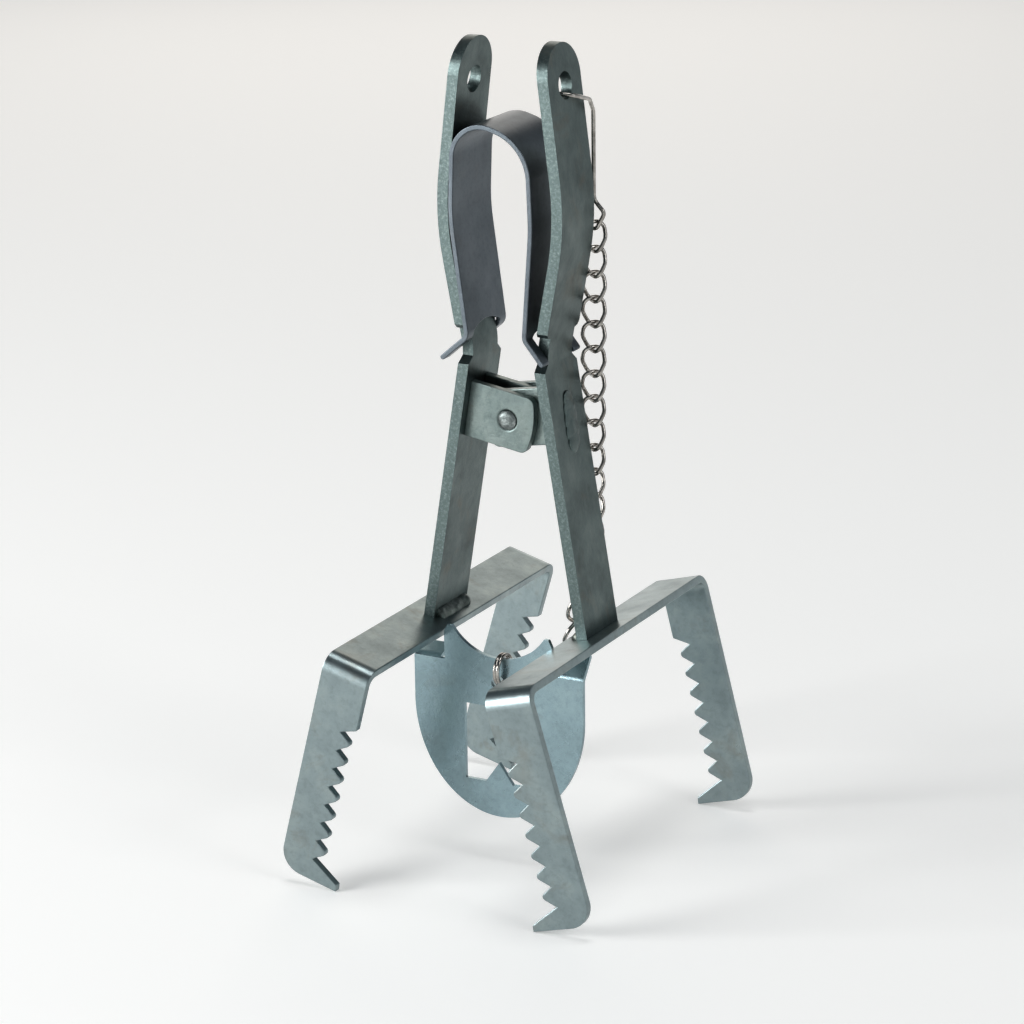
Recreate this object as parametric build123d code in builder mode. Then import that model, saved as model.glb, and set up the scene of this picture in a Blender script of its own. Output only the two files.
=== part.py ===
"""Scissor mole trap in its set position, as an assembly of separate pieces.

Two flat-steel levers are hinged at their middle by two U-shaped brackets and one rivet. Each lever
carries a jaw: a bar bent down at both ends into toothed arms. A leaf spring bent into a U pushes the
handles apart, and a thin trigger plate held between the two bars keeps the jaws open. A wire hook
and a chain of twisted links tie the plate to one handle, so that it isn't lost when the trap goes off.

Row frame, in millimetres: +X from the left jaw to the right one, +Y along the hinge rivet to the
rear, +Z up. The origin is on the ground, on the hinge's upright line, between the four jaw tips.
"""

import os
from math import atan, cos, degrees, radians, sin, tan

from build123d import *

# ---- driving dimensions -------------------------------------------------------------------------
pivot_height = 135.28      # hinge rivet above the ground

lever_width = 20.0         # flat steel bar, 20 x 3.5
lever_thickness = 3.5
lever_lean = 9.35          # the lower half leans out towards its jaw, degrees from upright
lever_inset = 13.36        # inner face of a lever from the hinge, level with the hinge
neck_bend_z = 19.8         # heights below are above or below the hinge
bulge_z = 60.0
bulge_x = 17.6
lever_top_z = 110.6
lever_top_x = 11.3
neck_bend_radius = 22.0
bulge_radius = 80.0
neck_width = 15.0          # the waist that the spring's forked ends straddle
neck_low_z = 18.4
neck_high_z = 26.2
handle_hole_radius = 4.0
handle_hole_z = 98.0

jaw_width = 15.0           # flat steel bar, 15 x 2.5
jaw_thickness = 2.5
bar_length = 116.8         # over the outer faces of the two arms
bar_x = 25.5               # middle of the bar's top face
bar_z = -62.6
jaw_tilt = 15.4            # each jaw leans, its lower ends outwards
arm_length = 72.0          # below the bar's top face
arm_lean = 1.9             # the arms come a little together at the bottom
bend_radius = 5.0          # outside of the bend between bar and arm
shoulder_drop = 19.0       # where the toothed edge starts
tooth_count = 7
tooth_pitch = 6.24
first_valley = 21.4
first_tip = 24.3
valley_depth = 4.96
tip_recess = 0.45          # of a tooth's sharp tip, before rounding
hook_reach = 4.8           # the end hook's reach beyond the arm's inner edge
hook_end = 2.1             # its blunt end
heel_radius = 7.0

lug_thickness = 2.5        # hinge brackets: a pair of lugs on each lever, side by side on one rivet
lug_half_height = 8.5
lug_reach = 8.6            # from the hinge to the lugs' round ends
lug_outer_y = 6.9
lug_gap = 0.15
rivet_radius = 2.5
rivet_head_radius = 3.05
rivet_half_length = 7.7
lug_bore_radius = 2.575
countersink_radius = 3.35
countersink_depth = 0.5
weld_leg = 2.3
weld_length = 16.0

spring_width = 23.5
spring_thickness = 1.5
fork_slot = 15.7
fork_top_z = 28.0

plate_y = -14.0            # the trigger plate stands in front of the hinge
plate_thickness = 1.3
plate_half_width = 28.1
plate_shoulder_z = -73.5
plate_side_z = -86.6
plate_bottom_z = -120.6
horn_half_width = 17.9
horn_top_z = -62.5
plate_arc_z = -70.8
ear_inner_x = 19.5
ear_length = 7.4
right_ear_bend = 37.0      # how far each ear is bent back from upright
left_ear_bend = 78.0
plate_hole_radius = 2.25
plate_hole_z = -78.3
window_half_width = 11.3
window_top_z = -86.1
window_bottom_z = -109.9
finger_tip_z = -103.6      # the bait finger standing in the window
finger_half_width = 4.5

chain_wire = 1.2
chain_pitch = 7.46
link_lap = 1.28            # how far two links' ends reach past each other, wire centre to centre
link_end = 2.9             # half length of the straight across a link's end, before rounding
link_waist = 3.55          # half width at a link's middle, before rounding
link_facing = 8.0          # which way the hanging links face
chain_y = 13.4             # the chain hangs behind the right lever
upper_links = 17
hook_wire = 1.25
ring_wire = 1.1
ring_radius = 4.45         # wire centre

os.makedirs("parts", exist_ok=True)

TILT = radians(jaw_tilt)
LEAN = radians(lever_lean)


def save(part, name):
    """Labels a finished piece and writes it under its own name."""
    part.label = name
    export_step(part, f"parts/{name}.step")


def turned(plane, turn):
    """The plane carried round the hinge's upright line, so that both arms share one drawing."""
    return Plane(Location((0, 0, 0), (0, 0, turn)) * plane.location)


# ---- levers -------------------------------------------------------------------------------------
# Side view, seen from the front: the inner face of the right lever as three straight runs.
neck_bend_x = lever_inset - neck_bend_z * tan(LEAN)
lever_foot_z = bar_z + 4.0
lever_foot_x = lever_inset - lever_foot_z * tan(LEAN)


def make_lever(turn):
    side = turned(Plane(origin=(0, 0, pivot_height), x_dir=(1, 0, 0), z_dir=(0, -1, 0)), turn)
    front = turned(Plane(origin=(0, 0, pivot_height), x_dir=(0, 1, 0), z_dir=(1, 0, 0)), turn)
    bar_top = turned(
        Plane(
            origin=(bar_x, 0, pivot_height + bar_z),
            x_dir=(cos(TILT), 0, sin(TILT)),
            z_dir=(-sin(TILT), 0, cos(TILT)),
        ),
        turn,
    )
    run_down = 12.0
    foot = (lever_foot_x + run_down * tan(LEAN), lever_foot_z - run_down)
    with BuildPart() as lever:
        with BuildSketch(side):
            with BuildLine():
                inner = FilletPolyline(
                    foot,
                    (neck_bend_x, neck_bend_z),
                    (bulge_x, bulge_z),
                    (lever_top_x, lever_top_z),
                    radius=(neck_bend_radius, bulge_radius),
                )
                offset(inner, amount=lever_thickness, side=Side.RIGHT)
            make_face()
        extrude(amount=lever_width / 2, both=True)
        # front view: parallel edges, the waist, and a round top
        with BuildSketch(front):
            half, waist = lever_width / 2, neck_width / 2
            with BuildLine():
                Polyline(
                    (-half, lever_top_z - half),
                    (-half, neck_high_z + 1.6),
                    (-half + 0.9, neck_high_z + 0.5),
                    (-waist, neck_high_z),
                    (-waist, neck_low_z),
                    (-half, neck_low_z - 2.2),
                    (-half, lever_foot_z - 20),
                    (half, lever_foot_z - 20),
                    (half, neck_low_z - 2.2),
                    (waist, neck_low_z),
                    (waist, neck_high_z),
                    (half - 0.9, neck_high_z + 0.5),
                    (half, neck_high_z + 1.6),
                    (half, lever_top_z - half),
                )
                RadiusArc((-half, lever_top_z - half), (half, lever_top_z - half), half)
            make_face()
        extrude(amount=60, mode=Mode.INTERSECT)
        split(bisect_by=bar_top, keep=Keep.TOP)
        # the hole through the handle, square to its face
        slope = degrees(atan((bulge_x - lever_top_x) / (lever_top_z - bulge_z)))
        hole_x = bulge_x - (handle_hole_z - bulge_z) * tan(radians(slope))
        hole_axis = Plane(
            origin=(hole_x, 0, pivot_height + handle_hole_z),
            z_dir=(cos(radians(slope)), 0, sin(radians(slope))),
        )
        with BuildSketch(turned(hole_axis, turn)):
            Circle(handle_hole_radius)
        extrude(amount=3 * lever_thickness, both=True, mode=Mode.SUBTRACT)
    return lever.part


# ---- jaws ---------------------------------------------------------------------------------------
def make_jaw(turn):
    origin = (bar_x, 0, pivot_height + bar_z)
    out, up = (cos(TILT), 0, sin(TILT)), (-sin(TILT), 0, cos(TILT))
    strip_view = turned(Plane(origin=origin, x_dir=(0, 1, 0), z_dir=out), turn)
    edge_view = turned(Plane(origin=origin, x_dir=out, z_dir=(0, -1, 0)), turn)
    half = bar_length / 2
    foot = half - arm_length * tan(radians(arm_lean))
    inner_edge = -jaw_width / 2
    with BuildPart() as jaw:
        # the strip, bent down at both ends
        with BuildSketch(strip_view):
            with BuildLine():
                skin = FilletPolyline(
                    (-foot, -arm_length - 2), (-half, 0), (half, 0), (foot, -arm_length - 2),
                    radius=bend_radius,
                )
                offset(skin, amount=jaw_thickness, side=Side.RIGHT)
            make_face()
        extrude(amount=jaw_width, both=True)
        # its outline on edge: shoulder, teeth, end hook and round heel
        with BuildSketch(edge_view):
            with BuildLine():
                heel = (jaw_width / 2, -arm_length + heel_radius)
                toe = (jaw_width / 2 - heel_radius, -arm_length)
                RadiusArc(heel, toe, heel_radius)
                hook = (inner_edge - hook_reach, -arm_length)
                blunt = (inner_edge - hook_reach + 0.3, -arm_length + hook_end)
                outline = [toe, hook, blunt]
                outline.append((inner_edge + valley_depth, -first_valley - tooth_count * tooth_pitch))
                for i in reversed(range(tooth_count)):
                    outline.append((inner_edge + tip_recess, -first_tip - i * tooth_pitch))
                    outline.append((inner_edge + valley_depth, -first_valley - i * tooth_pitch))
                outline.append((inner_edge, -shoulder_drop))
                outline.append((inner_edge, jaw_thickness))
                outline.append((jaw_width / 2, jaw_thickness))
                outline.append(heel)
                Polyline(*outline)
            make_face()
            toothed = vertices().filter_by(
                lambda v: v.Z < pivot_height + bar_z - shoulder_drop * 0.9
            )
            sharp = [
                v for v in toothed
                if abs(edge_view.to_local_coords(v).X - (inner_edge + tip_recess)) < 0.01
            ]
            deep = [
                v for v in toothed
                if abs(edge_view.to_local_coords(v).X - (inner_edge + valley_depth)) < 0.01
            ]
            ends = [v for v in toothed if edge_view.to_local_coords(v).X < inner_edge - hook_reach + 0.5]
            fillet(sharp, radius=1.2)
            fillet(deep, radius=0.8)
            fillet(ends, radius=0.8)
        extrude(amount=bar_length, both=True, mode=Mode.INTERSECT)
    return jaw.part



# ---- hinge brackets, rivet and welds ------------------------------------------------------------
def make_lug(turn, y_front, sunk_y):
    """A lug from the lever's inner face round the rivet; sunk_y is the face that's countersunk."""
    face = turned(Plane(origin=(0, 0, pivot_height), x_dir=(cos(LEAN), 0, sin(LEAN)), z_dir=(0, -1, 0)), turn)
    start = lever_inset * cos(LEAN)
    near = face.offset(-y_front if turn == 0 else y_front)
    with BuildPart() as lug:
        with BuildSketch(near):
            with BuildLine():
                Polyline(
                    (-lug_reach + 1.4, lug_half_height),
                    (start, lug_half_height),
                    (start, -lug_half_height),
                    (-lug_reach + 1.4, -lug_half_height),
                )
                ThreePointArc(
                    (-lug_reach + 1.4, lug_half_height),
                    (-lug_reach, 0),
                    (-lug_reach + 1.4, -lug_half_height),
                )
            make_face()
            ends = vertices().filter_by(lambda v: near.to_local_coords(v).X < 0)
            fillet(ends, radius=2.5)
            Circle(lug_bore_radius, mode=Mode.SUBTRACT)
        extrude(amount=-lug_thickness if turn == 0 else lug_thickness)
        if sunk_y is not None:
            inwards = -1 if sunk_y > 0 else 1
            mouth = Plane(origin=(0, sunk_y, pivot_height), x_dir=(1, 0, 0), z_dir=(0, -inwards, 0))
            with BuildSketch(mouth):
                Circle(countersink_radius)
            with BuildSketch(mouth.offset(-countersink_depth)):
                Circle(lug_bore_radius)
            loft(mode=Mode.SUBTRACT)
    return lug.part


def make_rivet():
    flat = lug_outer_y
    with BuildPart() as rivet:
        with BuildSketch(Plane(origin=(0, 0, pivot_height), x_dir=(1, 0, 0), z_dir=(0, 0, 1))):
            with BuildLine():
                Line((0, -rivet_half_length), (0.8, -rivet_half_length))
                ThreePointArc(
                    (0.8, -rivet_half_length), (2.1, -rivet_half_length + 0.2), (rivet_head_radius, -flat)
                )
                Polyline(
                    (rivet_head_radius, -flat),
                    (rivet_radius, -flat + countersink_depth),
                    (rivet_radius, flat - countersink_depth),
                    (rivet_head_radius, flat),
                )
                ThreePointArc(
                    (rivet_head_radius, flat), (2.1, rivet_half_length - 0.2), (0.8, rivet_half_length)
                )
                Line((0.8, rivet_half_length), (0, rivet_half_length))
                Line((0, rivet_half_length), (0, -rivet_half_length))
            make_face()
        revolve(axis=Axis((0, 0, pivot_height), (0, 1, 0)))
    return rivet.part


def make_weld(turn):
    """The bead along the inner side of the lever's foot, filling the corner between lever and bar."""
    edge_view = turned(
        Plane(origin=(bar_x, 0, pivot_height + bar_z), x_dir=(cos(TILT), 0, sin(TILT)), z_dir=(0, -1, 0)),
        turn,
    )
    rise = TILT - LEAN    # between the lever and the bar's own upright
    foot = (lever_inset - bar_z * tan(LEAN) - bar_x) / (cos(TILT) + sin(TILT) * tan(LEAN))
    corner = (foot, 0)
    along = (foot - weld_leg, 0)
    upward = (foot + weld_leg * sin(rise), weld_leg * cos(rise))
    middle = ((along[0] + upward[0]) / 2 - 0.35, weld_leg / 2 + 0.35)
    with BuildPart() as weld:
        with BuildSketch(edge_view):
            with BuildLine():
                Line(upward, corner)
                Line(corner, along)
                ThreePointArc(along, middle, upward)
            make_face()
        extrude(amount=weld_length / 2, both=True)
    return weld.part


# ---- spring -------------------------------------------------------------------------------------
def make_spring():
    side = Plane(origin=(0, 0, pivot_height), x_dir=(1, 0, 0), z_dir=(0, -1, 0))
    front = Plane(origin=(0, 0, pivot_height), x_dir=(0, 1, 0), z_dir=(1, 0, 0))
    with BuildPart() as spring:
        with BuildSketch(side):
            with BuildLine():
                strip = FilletPolyline(
                    (-18.4, 18.0),
                    (-10.35, 24.9),
                    (-15.1, 60.0),
                    (-13.9, 89.7),
                    (9.8, 83.0),
                    (10.75, 58.0),
                    (8.3, 26.0),
                    (13.8, 19.3),
                    radius=(3, 60, 9.7, 14.5, 60, 3),
                )
                offset(strip, amount=spring_thickness / 2, side=Side.BOTH)
            make_face()
        extrude(amount=spring_width / 2, both=True)
        # both ends are slotted, so that the prongs pass beside the lever's waist
        with BuildSketch(front):
            with BuildLine():
                Polyline(
                    (-fork_slot / 2, fork_top_z - 2),
                    (-fork_slot / 2, 0),
                    (fork_slot / 2, 0),
                    (fork_slot / 2, fork_top_z - 2),
                )
                ThreePointArc(
                    (-fork_slot / 2, fork_top_z - 2), (0, fork_top_z), (fork_slot / 2, fork_top_z - 2)
                )
            make_face()
        extrude(amount=60, both=True, mode=Mode.SUBTRACT)
    return spring.part


# ---- trigger plate ------------------------------------------------------------------------------
def make_plate():
    sheet = Plane(origin=(0, plate_y, pivot_height), x_dir=(1, 0, 0), z_dir=(0, -1, 0))
    side = Plane(origin=(0, 0, pivot_height), x_dir=(0, 1, 0), z_dir=(1, 0, 0))
    half = plate_half_width
    taper = 0.485 * (horn_top_z + 64.8)
    horn = horn_half_width - taper
    with BuildPart() as plate:
        with BuildSketch(sheet):
            with BuildLine():
                Polyline(
                    (-horn + 1.4, horn_top_z),
                    (-horn, horn_top_z),
                    (-horn_half_width, -64.8),
                    (-horn_half_width, plate_shoulder_z),
                    (-half, plate_shoulder_z),
                    (-half, plate_side_z),
                )
                EllipticalCenterArc(
                    (0, plate_side_z), half, plate_side_z - plate_bottom_z, start_angle=180, arc_size=180
                )
                Polyline(
                    (half, plate_side_z),
                    (half, plate_shoulder_z),
                    (horn_half_width, plate_shoulder_z),
                    (horn_half_width, -64.8),
                    (horn, horn_top_z),
                    (horn - 1.4, horn_top_z),
                )
                ThreePointArc((horn - 1.4, horn_top_z), (0, plate_arc_z), (-horn + 1.4, horn_top_z))
            make_face()
            # the window, with the finger standing up in it
            with BuildLine():
                opening = Polyline(
                    (-window_half_width, window_top_z),
                    (-window_half_width, window_bottom_z),
                    (-finger_half_width, window_bottom_z),
                    (0, finger_tip_z),
                    (finger_half_width, window_bottom_z),
                    (window_half_width, window_bottom_z),
                    (window_half_width, window_top_z),
                    close=True,
                )
            make_face(mode=Mode.SUBTRACT)
            lower = vertices().filter_by(
                lambda v: abs(abs(v.X) - window_half_width) < 0.01
                and abs(v.Z - pivot_height - window_bottom_z) < 0.01
            )
            fillet(lower, radius=3)
            upper = vertices().filter_by(
                lambda v: abs(abs(v.X) - window_half_width) < 0.01
                and abs(v.Z - pivot_height - window_top_z) < 0.01
            )
            fillet(upper, radius=1)
            with Locations((0, plate_hole_z)):
                Circle(plate_hole_radius, mode=Mode.SUBTRACT)
        extrude(amount=plate_thickness / 2, both=True)
        # the ears, bent back along the shoulder line
        for bend, low, high in (
            (right_ear_bend, ear_inner_x, half),
            (left_ear_bend, -half, -ear_inner_x),
        ):
            tip = (
                plate_y + ear_length * sin(radians(bend)),
                plate_shoulder_z + ear_length * cos(radians(bend)),
            )
            with BuildSketch(side.offset(low)):
                with BuildLine():
                    ear = FilletPolyline(
                        (plate_y, plate_shoulder_z - 4), (plate_y, plate_shoulder_z), tip, radius=1.8
                    )
                    offset(ear, amount=plate_thickness / 2, side=Side.BOTH)
                make_face()
            extrude(amount=high - low)
    return plate.part


# ---- hook, chain and ring -----------------------------------------------------------------------
def at(x, y, z):
    return (x, y, pivot_height + z)


def make_hook():
    with BuildPart() as hook:
        with BuildLine() as wire:
            FilletPolyline(
                at(10.4, -1.6, 98.7),
                at(11.2, -0.6, 96.1),
                at(18.0, 1.6, 95.4),
                at(19.3, 9.0, 93.2),
                at(18.3, chain_y, 89.0),
                at(18.3, chain_y, 63.0),
                at(21.8, chain_y, 59.3),
                at(18.4, chain_y, 53.2),
                at(15.5, chain_y, 57.6),
                radius=(1.2, 2.2, 2.5, 3, 4, 1.6, 1.4),
            )
        with BuildSketch(Plane(origin=wire.line @ 0, z_dir=wire.line % 0)):
            Circle(hook_wire / 2)
        sweep()
    return hook.part


def make_link(top, bottom, turn):
    """A twisted link between two joints; turn is how far it's turned about its own length."""
    upward = (top - bottom).normalized()
    middle = (top + bottom) * 0.5
    level = (Vector(1, 0, 0) - upward * upward.X).normalized()
    across = level * cos(radians(turn)) + upward.cross(level) * sin(radians(turn))
    e = link_end * cos(radians(45))    # the ends are turned 45 degrees either way
    b = (chain_pitch + link_lap) / 2
    frame = Plane(origin=middle, x_dir=across, z_dir=upward)
    with BuildPart() as link:
        for way in (1, -1):
            with BuildLine(frame) as half:
                FilletPolyline(
                    (0, 0, b),
                    (way * e, way * e, b),
                    (way * link_waist, 0, 0),
                    (way * e, -way * e, -b),
                    (0, 0, -b),
                    radius=(2.3, 4, 2.3),
                )
            with BuildSketch(Plane(origin=half.line @ 0, z_dir=half.line % 0)):
                Circle(chain_wire / 2)
            sweep(path=half.line)
    return link.part


def make_ring():
    """A split ring's two turns, lying side by side."""
    with BuildPart() as ring:
        for step in (-0.5, 0.5):
            centre = Vector(*at(1 + step * ring_wire * 0.9, plate_y + 0.8, -74.3))
            with BuildSketch(Plane(origin=centre, x_dir=(0, 1, 0), z_dir=(0, 0, 1))):
                with Locations((ring_radius, 0)):
                    Circle(ring_wire / 2)
            revolve(axis=Axis(centre, (1, 0, 0)))
    return ring.part


# ---- writing the pieces -------------------------------------------------------------------------
for side_name, turn in (("right", 0), ("left", 180)):
    save(make_lever(turn), f"{side_name}_lever")
    save(make_jaw(turn), f"{side_name}_jaw")
    save(make_weld(turn), f"{side_name}_weld")

# the lugs interleave: left, right, left, right from front to rear
row = [-lug_outer_y, -lug_outer_y + lug_thickness + lug_gap]
row += [lug_outer_y - 2 * lug_thickness - lug_gap, lug_outer_y - lug_thickness]
save(make_lug(180, row[0], -lug_outer_y), "left_lug_front")
save(make_lug(0, row[1], None), "right_lug_front")
save(make_lug(180, row[2], None), "left_lug_rear")
save(make_lug(0, row[3], lug_outer_y), "right_lug_rear")
save(make_rivet(), "hinge_rivet")
save(make_spring(), "leaf_spring")
save(make_plate(), "trigger_plate")
save(make_hook(), "chain_hook")
save(make_ring(), "plate_ring")

# the chain hangs plumb, then leans in beside the right bar's inner edge
plumb_top = Vector(*at(18.4, chain_y, 55.9))
plumb_foot = Vector(*at(17.2, chain_y, -37.0))
bar_level = Vector(*at(16.4, 2.0, -65.8))
joints = []
for i in range(upper_links + 1):
    run = i * chain_pitch
    plumb = (plumb_foot - plumb_top).length
    if run <= plumb:
        joints.append(plumb_top + (plumb_foot - plumb_top).normalized() * run)
    else:
        joints.append(plumb_foot + (bar_level - plumb_foot).normalized() * (run - plumb))
for i in range(upper_links):
    turn = link_facing + (90 - link_facing) * max(0, i - 11) / (upper_links - 12)
    save(make_link(joints[i], joints[i + 1], turn), f"chain_link_{i + 1:02d}")

# three links of slack carry on under the bar to the split ring
slack = [
    Vector(*at(17.56, -1.49, -74.36)),
    Vector(*at(11.92, -2.94, -78.98)),
    Vector(*at(5.47, -6.3, -80.16)),
    Vector(*at(0.22, -10.36, -76.86)),
]
for i, turn in enumerate((167.5, 18.2, 35.9)):
    save(make_link(slack[i], slack[i + 1], turn), f"chain_link_{upper_links + i + 1:02d}")
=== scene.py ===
# %% [markdown]
# # A scissor mole trap in zinc-plated steel
# The trap is flat steel bar, sheet and wire, so nearly every piece is already exact in the imported CAD model.
# This script keeps those pieces, gives each one its real finish, and adds what a CAD solid leaves out:
# lumpy weld beads and a scar behind each lever's lugs. The spring becomes a merged copy with softened edges.
# All lengths are metres. `mm` turns millimetres into metres, so that sizes read as they do in a workshop.

import math

import bmesh
import bpy
from mathutils import Matrix, Vector, noise


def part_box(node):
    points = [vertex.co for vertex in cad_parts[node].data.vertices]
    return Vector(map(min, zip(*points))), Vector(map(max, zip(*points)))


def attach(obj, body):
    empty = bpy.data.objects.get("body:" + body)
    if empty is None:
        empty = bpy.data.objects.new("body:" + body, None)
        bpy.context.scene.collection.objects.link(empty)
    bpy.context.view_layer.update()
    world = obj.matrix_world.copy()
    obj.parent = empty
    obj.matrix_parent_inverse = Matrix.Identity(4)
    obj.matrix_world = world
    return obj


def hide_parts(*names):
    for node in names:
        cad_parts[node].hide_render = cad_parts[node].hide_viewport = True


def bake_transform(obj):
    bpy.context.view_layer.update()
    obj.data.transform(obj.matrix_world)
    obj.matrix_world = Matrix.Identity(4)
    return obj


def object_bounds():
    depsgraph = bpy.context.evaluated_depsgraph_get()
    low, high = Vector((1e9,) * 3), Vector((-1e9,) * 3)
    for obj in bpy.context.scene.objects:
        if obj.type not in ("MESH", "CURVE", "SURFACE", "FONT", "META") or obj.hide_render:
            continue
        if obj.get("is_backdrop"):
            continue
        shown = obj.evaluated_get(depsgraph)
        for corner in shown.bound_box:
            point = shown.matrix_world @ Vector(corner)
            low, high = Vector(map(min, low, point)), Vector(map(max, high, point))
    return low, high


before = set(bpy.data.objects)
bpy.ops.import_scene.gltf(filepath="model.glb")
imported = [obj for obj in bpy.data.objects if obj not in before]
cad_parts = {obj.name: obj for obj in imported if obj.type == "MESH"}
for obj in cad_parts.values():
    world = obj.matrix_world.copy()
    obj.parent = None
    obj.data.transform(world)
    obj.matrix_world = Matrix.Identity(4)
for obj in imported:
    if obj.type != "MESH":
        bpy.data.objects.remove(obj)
cad_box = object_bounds()


def mm(*lengths):
    """Millimetres to metres: one number, or a point of three."""
    turned = tuple(length / 1000 for length in lengths)
    return turned[0] if len(turned) == 1 else turned


hinge_height = 135.28  # millimetres, from the floor to the rivet
same_place = 1e-6  # metres: points closer than this are one point
flat_angle = math.radians(0.6)  # faces that differ by less are one face
print("CAD box in mm:", [[round(v * 1000, 1) for v in corner] for corner in cad_box])

# %% [markdown]
# ## Helpers for materials
# A finish is a small network of nodes. One helper adds a node with its settings and its links, so that
# each material reads as a short list. Colours are picked as sRGB hex, which is how a person sees them on a
# screen, and are turned to the linear numbers that the renderer works in.

# %% Colour and node helpers


def linear(hex_colour):
    """An sRGB hex colour as linear RGBA."""
    parts = [int(hex_colour[i : i + 2], 16) / 255 for i in (1, 3, 5)]
    bent = [p / 12.92 if p <= 0.04045 else ((p + 0.055) / 1.055) ** 2.4 for p in parts]
    return (*bent, 1.0)


def add_node(material, kind, links=None, values=None, stops=None, **settings):
    """Adds a node. settings are its properties, values its inputs, links map an input to (node, output),
    and stops are a colour ramp's (position, hex colour or grey level)."""
    node = material.node_tree.nodes.new(kind)
    for name, value in settings.items():
        setattr(node, name, value)
    for socket, value in (values or {}).items():
        node.inputs[socket].default_value = value
    for socket, (source, output) in (links or {}).items():
        material.node_tree.links.new(source.outputs[output], node.inputs[socket])
    while stops and len(node.color_ramp.elements) < len(stops):
        node.color_ramp.elements.new(0.5)
    for place, (position, colour) in enumerate(stops or []):
        node.color_ramp.elements[place].position = position
        colour = linear(colour) if isinstance(colour, str) else (colour, colour, colour, 1.0)
        node.color_ramp.elements[place].color = colour
    return node


print("white as linear:", linear("#ffffff")[:3])

# %% [markdown]
# ## Zinc-plated hot-rolled bar
# The levers and jaws are mild steel, cut and bent and then electroplated with zinc. The zinc is thin, so
# the rolled steel's grain still shows under it: soft dark clouds, fine pits, and faint lines along the
# bar. Bright zinc is a slightly blue metal with a satin gloss. Clear passivation gives it a hint of green
# and yellow, and handling leaves brown stains. Each of those is one layer of noise here, at its real size.
#
# Sheared edges look different from rolled faces: they're rougher, with a torn grain. They are also painted
# brighter here, as a painted reflection of the bright floor that these faces look towards. They could have a
# second material of their own. But the levers' sheared edges all look along Y, and a node can read which way
# a face looks, so one material holds both and a mask picks between them.

# %% The plated steel material
MIX_FACTOR, MIX_FIRST, MIX_SECOND, MIX_RESULT = 0, 6, 7, 2  # the colour sockets of a Mix node


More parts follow.
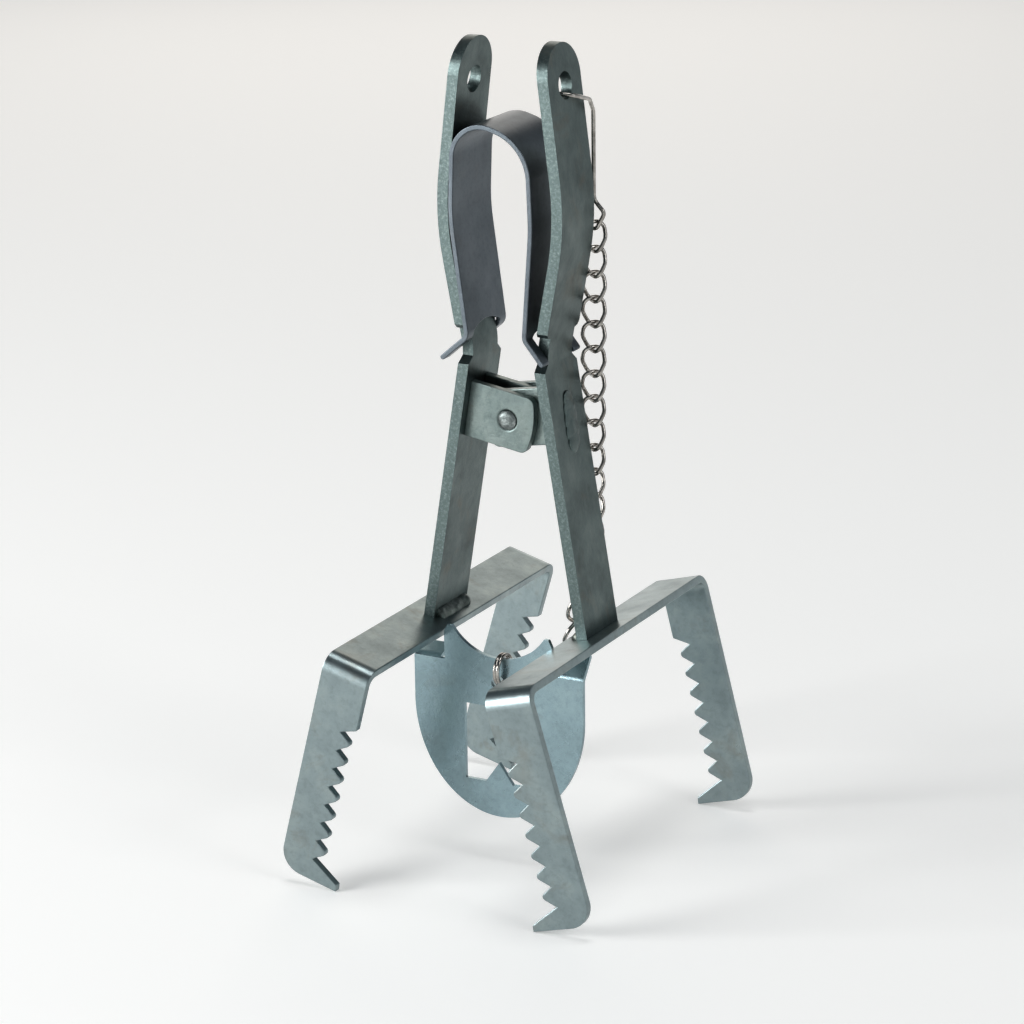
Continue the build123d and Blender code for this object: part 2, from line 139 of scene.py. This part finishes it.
def plated_steel(
    name,
    shades,
    cloud_mm=9.0,
    roughness=(0.28, 0.46),
    pit_depth=0.25,
    stain=0.25,
    grain_stretch=(1, 1, 1),
    grain_mm=0.5,
    sheared_with_sheen=None,
):
    """Zinc plate over steel. shades are (dark, middle, light) hex colours; sizes are millimetres.
    The last argument is the hex colour of the faces that the shear cut, which look along Y: their torn grain,
    painted brighter as a painted reflection of the bright floor they face."""
    material = bpy.data.materials.new(name)
    material.use_nodes = True
    tree = material.node_tree
    shader = tree.nodes["Principled BSDF"]
    shader.inputs["Metallic"].default_value = 1.0

    def noise_of(size_mm, detail, rough, vector, distortion=0.0):
        return add_node(
            material,
            "ShaderNodeTexNoise",
            links={"Vector": vector},
            values={"Scale": 1000 / size_mm, "Detail": detail, "Roughness": rough, "Distortion": distortion},
        )

    place = add_node(material, "ShaderNodeTexCoord")
    here = (place, "Object")
    stretched = add_node(
        material, "ShaderNodeMapping", links={"Vector": here}, values={"Scale": grain_stretch}
    )
    clouds = noise_of(cloud_mm, 6.0, 0.62, here)
    mottle = noise_of(4 * grain_mm, 5.0, 0.7, (stretched, "Vector"))
    pits = noise_of(grain_mm, 3.0, 0.6, here)
    patches = noise_of(14.0, 4.0, 0.65, here, distortion=0.6)

    # colour: soft clouds, then a fine dark mottle, then brown stains in a few patches
    dark, middle, light = shades
    colour = add_node(
        material,
        "ShaderNodeValToRGB",
        links={"Fac": (clouds, "Fac")},
        stops=[(0.30, dark), (0.50, middle), (0.70, light)],
    )
    speckle = add_node(
        material,
        "ShaderNodeValToRGB",
        links={"Fac": (mottle, "Fac")},
        stops=[(0.34, 0.72), (0.50, 0.95), (0.66, 1.0)],
    )
    speckled = add_node(
        material,
        "ShaderNodeMix",
        data_type="RGBA",
        blend_type="MULTIPLY",
        values={MIX_FACTOR: 0.55},
        links={MIX_FIRST: (colour, "Color"), MIX_SECOND: (speckle, "Color")},
    )
    where = add_node(
        material,
        "ShaderNodeMapRange",
        links={"Value": (patches, "Fac")},
        values={"From Min": 0.56, "From Max": 0.72, "To Min": 0.0, "To Max": stain},
    )
    stained = add_node(
        material,
        "ShaderNodeMix",
        data_type="RGBA",
        links={MIX_FACTOR: (where, "Result"), MIX_FIRST: (speckled, MIX_RESULT)},
        values={MIX_SECOND: linear("#6a5c49")},
    )
    coloured = (stained, MIX_RESULT)

    # sheared faces: torn into grains about a millimetre long, and painted brighter as a painted reflection of
    # the bright floor they face
    torn = (mottle, "Fac")
    if sheared_with_sheen:
        facing = add_node(material, "ShaderNodeSeparateXYZ", links={"Vector": (place, "Normal")})
        along_y = add_node(material, "ShaderNodeMath", operation="ABSOLUTE", links={0: (facing, "Y")})
        cut_face_and_sheen = add_node(
            material,
            "ShaderNodeMapRange",
            links={"Value": (along_y, 0)},
            values={"From Min": 0.55, "From Max": 0.8},
        )
        grain = noise_of(0.9, 4.0, 0.75, here)
        flakes_and_sheen = add_node(
            material,
            "ShaderNodeValToRGB",
            links={"Fac": (grain, "Fac")},
            stops=[(0.25, dark), (0.5, middle), (0.8, sheared_with_sheen)],
        )
        edged = add_node(
            material,
            "ShaderNodeMix",
            data_type="RGBA",
            links={
                MIX_FACTOR: (cut_face_and_sheen, "Result"),
                MIX_FIRST: coloured,
                MIX_SECOND: (flakes_and_sheen, "Color"),
            },
        )
        coloured = (edged, MIX_RESULT)
        tearing = add_node(
            material,
            "ShaderNodeMath",
            operation="MULTIPLY_ADD",
            links={0: (grain, "Fac"), 1: (cut_face_and_sheen, "Result"), 2: (mottle, "Fac")},
        )
        torn = (tearing, 0)
    tree.links.new(coloured[0].outputs[coloured[1]], shader.inputs["Base Color"])

    # gloss: the clouds are also where the zinc is duller
    gloss = add_node(
        material,
        "ShaderNodeMapRange",
        links={"Value": (clouds, "Fac")},
        values={"From Min": 0.3, "From Max": 0.7, "To Min": roughness[1], "To Max": roughness[0]},
    )
    tree.links.new(gloss.outputs["Result"], shader.inputs["Roughness"])

    # relief: pits and mottle a few hundredths of a millimetre deep, on a gently uneven rolled face
    relief = add_node(material, "ShaderNodeMath", operation="ADD", links={0: torn, 1: (pits, "Fac")})
    bump = add_node(
        material,
        "ShaderNodeBump",
        links={"Height": (relief, 0)},
        values={"Strength": pit_depth, "Distance": mm(0.12)},
    )
    waves = add_node(
        material,
        "ShaderNodeBump",
        links={"Height": (clouds, "Fac"), "Normal": (bump, "Normal")},
        values={"Strength": 0.12, "Distance": mm(1.2)},
    )
    tree.links.new(waves.outputs["Normal"], shader.inputs["Normal"])
    print("material", name, "with", len(tree.nodes), "nodes")
    return material


# the lever's shades are darker than the jaw's, partly as the hot-rolled bar's own tone and partly as painted
# shade: the levers' broad faces are painted darker than the jaws' faces, in place of a difference in light
lever_steel_and_shade = plated_steel(
    "zinc plated hot rolled bar with painted shade",
    ("#4c5756", "#596665", "#677371"),
    cloud_mm=12.0,
    roughness=(0.30, 0.42),
    pit_depth=0.35,
    stain=0.30,
    grain_stretch=(1.0, 1.0, 0.4),
    # the sheared faces' colour: torn grain, painted brighter as a painted reflection of the floor
    sheared_with_sheen="#828f8e",
)
jaw_steel = plated_steel(
    "zinc plated flat bar",
    ("#7a8789", "#879597", "#95a2a2"),
    cloud_mm=14.0,
    roughness=(0.27, 0.38),
    pit_depth=0.2,
    stain=0.35,
)
bracket_steel = plated_steel(
    "zinc plated hinge strip",
    ("#626e6d", "#6f7c7a", "#7d8986"),
    cloud_mm=8.0,
    roughness=(0.30, 0.42),
    stain=0.40,
)
spring_steel = plated_steel(
    "zinc plated spring strip",
    ("#545b61", "#5e666c", "#6b7278"),
    cloud_mm=24.0,
    roughness=(0.34, 0.40),
    pit_depth=0.08,
    stain=0.08,
    grain_mm=0.35,
)
plate_steel = plated_steel(
    "zinc plated sheet",
    ("#82979d", "#8da4ab", "#9ab1b6"),
    cloud_mm=24.0,
    roughness=(0.22, 0.30),
    pit_depth=0.06,
    stain=0.15,
    grain_mm=0.35,
)
rivet_steel = plated_steel(
    "zinc plated rivet",
    ("#4c5251", "#727a79", "#a6adab"),
    cloud_mm=2.0,
    roughness=(0.25, 0.45),
    pit_depth=0.6,
    stain=0.5,
)
weld_metal = plated_steel(
    "zinc plated weld bead",
    ("#4c5350", "#69726e", "#8f9791"),
    cloud_mm=2.5,
    roughness=(0.30, 0.50),
    pit_depth=0.6,
    stain=0.6,
)

# %% [markdown]
# ## Bright wire
# The hook, chain and split ring are nickel-plated wire: a warm, pale metal with a high gloss that dulls in
# places. It has the same layers as the plated bar, so the same function makes it, with finer clouds, less
# roughness and hardly any relief, since each wire is only about a millimetre thick.

# %% The nickel wire material
bright_wire = plated_steel(
    "nickel plated wire",
    ("#7d7974", "#a39f99", "#c9c5bf"),
    cloud_mm=3.0,
    roughness=(0.12, 0.26),
    pit_depth=0.05,
    stain=0.15,
    grain_mm=0.4,
)

# %% [markdown]
# ## Finishing the CAD pieces
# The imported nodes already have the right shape, so they stay and only get their finish. Real pieces have
# no knife edges: shearing, tumbling and plating round every corner by a few tenths of a millimetre, and
# that thin round is what catches the light. Modifiers add it without touching the node's own mesh. Weld
# joins the loose triangles, Decimate in planar mode turns them back into whole faces, Bevel rounds the
# sharp edges, and Weighted Normal lets the large faces stay flat in the shading.

# %% Modifiers for edges and shading


def soften(piece, edge_mm):
    """Rounds a piece's sharp edges by edge_mm and shades it smoothly in between."""
    weld = piece.modifiers.new("join triangles", "WELD")
    weld.merge_threshold = same_place
    if edge_mm:
        flat = piece.modifiers.new("whole faces", "DECIMATE")
        flat.decimate_type = "DISSOLVE"
        flat.angle_limit = flat_angle
        edges = piece.modifiers.new("softened edges", "BEVEL")
        edges.width = mm(edge_mm)
        edges.segments = 2
        edges.limit_method = "ANGLE"
        edges.angle_limit = math.radians(32)
    shading = piece.modifiers.new("face weighted shading", "WEIGHTED_NORMAL")
    shading.keep_sharp = True
    shading.weight = 60


def finish_node(name, material, edge_mm=0.0):
    """Gives a CAD node its material and its softened edges. Round wire has no edges to soften."""
    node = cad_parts[name]
    for place in range(len(node.material_slots)):
        node.material_slots[place].link = "OBJECT"
        node.material_slots[place].material = material
    soften(node, edge_mm)


for side in ("left", "right"):
    finish_node(f"{side}_lever", lever_steel_and_shade, edge_mm=0.35)
    finish_node(f"{side}_jaw", jaw_steel, edge_mm=0.3)
    finish_node(f"{side}_lug_front", bracket_steel, edge_mm=0.25)
    finish_node(f"{side}_lug_rear", bracket_steel, edge_mm=0.25)
finish_node("trigger_plate", plate_steel, edge_mm=0.15)
finish_node("hinge_rivet", rivet_steel, edge_mm=0.2)
finish_node("plate_ring", bright_wire)
wire_nodes = [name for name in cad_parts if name.startswith("chain_")]
for name in wire_nodes:
    finish_node(name, bright_wire)
print(len(wire_nodes), "chain pieces;", len(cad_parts), "CAD nodes in all")

# %% [markdown]
# ## New pieces
# A new piece is built in place, so its object stays at the origin, unturned and unscaled. A pattern on
# Object coordinates then has the same size everywhere.

# %% A helper for new pieces


def new_piece(name, mesh, material, body):
    """Makes an object from a bmesh, with a material, riding on a CAD body."""
    data = bpy.data.meshes.new(name)
    mesh.to_mesh(data)
    mesh.free()
    data.materials.append(material)
    for face in data.polygons:
        face.use_smooth = True
    piece = bpy.data.objects.new(name, data)
    bpy.context.scene.collection.objects.link(piece)
    if body:
        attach(piece, body)
    return piece


# %% [markdown]
# ## The leaf spring
# The spring is one strip of spring steel bent into a U, forked at its ends. On the trap it bends as the
# jaws close: its left leg goes with the left arm and its right leg with the right one, and the bow opens
# between them. Here a merged copy of the CAD node takes its place as one rigid piece with softened edges,
# attached to neither arm.

# %% The spring strip


def copied_mesh(name):
    """A bmesh copy of a CAD node, its loose triangles joined."""
    mesh = bmesh.new()
    mesh.from_mesh(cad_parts[name].data)
    bmesh.ops.remove_doubles(mesh, verts=mesh.verts, dist=same_place)
    return mesh


spring_mesh = copied_mesh("leaf_spring")
bmesh.ops.dissolve_limit(
    spring_mesh, angle_limit=flat_angle, verts=spring_mesh.verts, edges=spring_mesh.edges
)
spring = new_piece("spring_strip", spring_mesh, spring_steel, None)
soften(spring, 0.3)
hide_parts("leaf_spring")
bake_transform(spring)

# %% [markdown]
# ## Weld beads
# Each lever stands on its bar and is joined by a bead along its inner side, laid by hand. A real bead is a
# row of overlapping puddles, a little higher here and lower there, so the CAD's smooth bead is copied,
# sliced finely and pushed out along its normals by noise about three millimetres across.

# %% Lumpy beads


def lumpy(mesh, size_mm, height_mm, seed):
    """Pushes a mesh's points out along their normals, by noise of that size and height."""
    offset = Vector((seed * 7.3, seed * 3.1, seed * 5.7))
    mesh.normal_update()
    for vertex in mesh.verts:
        lump = noise.noise(vertex.co * (1000 / size_mm) + offset)
        vertex.co += vertex.normal * mm(height_mm) * (0.35 + lump)


slices = 32  # half a millimetre each
for seed, side in enumerate(("left", "right")):
    node_name = f"{side}_weld"
    bead_mesh = copied_mesh(node_name)
    bead_low, bead_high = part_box(node_name)
    for step in range(1, slices):
        cut_y = bead_low[1] + (bead_high[1] - bead_low[1]) * step / slices
        every = bead_mesh.verts[:] + bead_mesh.edges[:] + bead_mesh.faces[:]
        bmesh.ops.bisect_plane(
            bead_mesh, geom=every, plane_co=(0, cut_y, 0), plane_no=(0, 1, 0), dist=same_place
        )
    bmesh.ops.subdivide_edges(bead_mesh, edges=bead_mesh.edges[:], cuts=1, use_grid_fill=True)
    bmesh.ops.triangulate(bead_mesh, faces=bead_mesh.faces[:])
    lumpy(bead_mesh, 2.8, 0.6, seed)
    bead = new_piece(f"{side}_bead", bead_mesh, weld_metal, f"{side}_arm")
    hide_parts(node_name)
print("two beads laid")

# %% [markdown]
# ## Marks behind the lugs
# Where a lug is welded inside a lever, the heat comes through and leaves an oval scar on the outer face:
# low puddles less than half a millimetre high, each lying half over the one below like fallen coins.
# Each puddle is a sphere pressed flat, pushed about by noise and tipped a few degrees, so that its
# upper edge catches the light as a crescent.

# %% The oval scars
lever_lean = math.radians(9.35)
inner_face_mm, bar_thickness_mm = 13.36, 3.5  # at the hinge's height, from its upright line
outer_face_mm = inner_face_mm + bar_thickness_mm / math.cos(lever_lean)


def puddle(height_mm, radius_mm, seed):
    """One puddle of a scar on the right lever's outer face, height_mm above the hinge."""
    mesh = bmesh.new()
    bmesh.ops.create_uvsphere(mesh, u_segments=36, v_segments=18, radius=mm(radius_mm))
    bmesh.ops.scale(mesh, verts=mesh.verts, vec=(1.0, 1.1, 0.14))
    lumpy(mesh, 2.2, 0.16, seed)
    # one edge a little proud, as each puddle lies half on the one before it
    bmesh.ops.rotate(mesh, verts=mesh.verts, matrix=Matrix.Rotation(math.radians(3), 3, "X"))
    # from lying flat to standing on the lever's leaning face, its long way up
    out = Vector((math.cos(lever_lean), 0, math.sin(lever_lean)))
    up = Vector((-math.sin(lever_lean), 0, math.cos(lever_lean)))
    turn = Matrix((Vector((0, -1, 0)), up, out)).transposed()
    bmesh.ops.rotate(mesh, verts=mesh.verts, matrix=turn)
    place = Vector((outer_face_mm - height_mm * math.tan(lever_lean), 0.8, hinge_height + height_mm))
    bmesh.ops.translate(mesh, verts=mesh.verts, vec=(place + out * 0.1) / 1000)
    return mesh


puddles_mm = ((-5.9, 3.1), (-2.7, 3.7), (0.6, 3.6), (3.6, 3.2), (6.2, 2.6))  # height and radius
for side in ("right", "left"):
    for number, (height_mm, radius_mm) in enumerate(puddles_mm, start=1):
        puddle_mesh = puddle(height_mm, radius_mm, 11 + number)
        if side == "left":
            half_turn = Matrix.Rotation(math.pi, 3, "Z")
            bmesh.ops.rotate(puddle_mesh, verts=puddle_mesh.verts, matrix=half_turn)
        piece = new_piece(f"{side}_scar_{number}", puddle_mesh, lever_steel_and_shade, f"{side}_arm")
print("scars stand at x =", round(outer_face_mm, 2), "mm beside the hinge")

# %% [markdown]
# ## Stage, light and camera
# A pale floor, a room and four soft lamps. Plated metal shows what surrounds it, so the room isn't evenly
# white: it is bright near the floor and darkens towards its ceiling, and that gives each flat face a tone
# of its own. The camera sees the object in three-quarter view from a little above, with a long lens from
# about a metre away, so that the upright edges stay nearly parallel.

# %% Floor
floor_mesh = bmesh.new()
bmesh.ops.create_grid(floor_mesh, x_segments=1, y_segments=1, size=12.0)
floor_material = bpy.data.materials.new("pale floor")
floor_material.use_nodes = True
floor_finish = floor_material.node_tree.nodes["Principled BSDF"].inputs
floor_finish["Base Color"].default_value = linear("#f4f4f2")
floor_finish["Roughness"].default_value = 0.9
# the floor glows a little, as a light table does, so that the shadows stay soft and pale
floor_finish["Emission Color"].default_value = linear("#ffffff")
floor_finish["Emission Strength"].default_value = 0.24
floor = new_piece("floor", floor_mesh, floor_material, None)
floor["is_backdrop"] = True
print("floor 24 m square")

# %% Lamps and room
target = Vector(mm(0, 0, 120))


def lamp(name, azimuth, elevation, distance, size, power, colour="#ffffff"):
    """A square soft lamp; azimuth 0 is in front (at -Y) and 90 on the right."""
    data = bpy.data.lights.new(name, "AREA")
    data.color = linear(colour)[:3]
    data.energy = power
    data.size = size
    piece = bpy.data.objects.new(name, data)
    a, e = math.radians(azimuth), math.radians(elevation)
    way = Vector((math.sin(a) * math.cos(e), -math.cos(a) * math.cos(e), math.sin(e)))
    piece.location = target + way * distance
    piece.rotation_euler = (-way).to_track_quat("-Z", "Y").to_euler()
    bpy.context.scene.collection.objects.link(piece)


lamp("front left", -45, 12, 1.4, 0.7, 19)
lamp("back left", -150, 24, 1.6, 1.1, 4.5, "#fff4e8")
lamp("right", 80, 35, 1.8, 0.6, 5)
lamp("overhead", 0, 88, 1.6, 0.5, 6)
world = bpy.data.worlds.new("white room")
world.use_nodes = True
sky_place = add_node(world, "ShaderNodeTexCoord")
sky_split = add_node(world, "ShaderNodeSeparateXYZ", links={"Vector": (sky_place, "Generated")})
walls = add_node(
    world,
    "ShaderNodeValToRGB",
    links={"Fac": (sky_split, "Z")},
    stops=[(0.0, "#f4f7f8"), (0.22, "#c6cbce"), (0.55, "#4c555c"), (1.0, "#323b44")],
)
room_light = world.node_tree.nodes["Background"].inputs
world.node_tree.links.new(walls.outputs["Color"], room_light["Color"])
room_light["Strength"].default_value = 0.9
bpy.context.scene.world = world
print("four lamps, and a room that darkens towards its ceiling")

# %% Camera
view_azimuth, view_elevation, view_roll = (math.radians(v) for v in (28.23, 17.42, -0.73))
view_distance = 1.117
lens_mm = 134.85  # on a sensor 36 mm wide
hinge_off_axis = (0.001797, -0.028386)  # where the hinge lies from the line of sight, right and down

right = Vector((math.cos(view_azimuth), math.sin(view_azimuth), 0))
ahead = Vector(
    (
        -math.sin(view_azimuth) * math.cos(view_elevation),
        math.cos(view_azimuth) * math.cos(view_elevation),
        -math.sin(view_elevation),
    )
)
down = ahead.cross(right)
cosine, sine = math.cos(view_roll), math.sin(view_roll)
rolled_right = right * cosine - down * sine
rolled_down = right * sine + down * cosine
camera_data = bpy.data.cameras.new("camera")
camera_data.lens = lens_mm
camera_data.sensor_width = 36.0
camera = bpy.data.objects.new("camera", camera_data)
place = Vector((0, 0, mm(hinge_height)))
place -= rolled_right * hinge_off_axis[0] + rolled_down * hinge_off_axis[1] + ahead * view_distance
axes = Matrix((rolled_right, -rolled_down, -ahead)).transposed().to_4x4()
camera.matrix_world = Matrix.Translation(place) @ axes
bpy.context.scene.collection.objects.link(camera)
bpy.context.scene.camera = camera
bpy.context.scene.view_settings.view_transform = "Standard"
print("camera at", [round(v, 3) for v in place])

# %% Sizes and the last line
visual_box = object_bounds()
boxes = {"cad": cad_box, "visual": visual_box}
boxes = {name: [[float(v) for v in corner] for corner in box] for name, box in boxes.items()}
print("visual box in mm:", [[round(v * 1000, 1) for v in corner] for corner in boxes["visual"]])
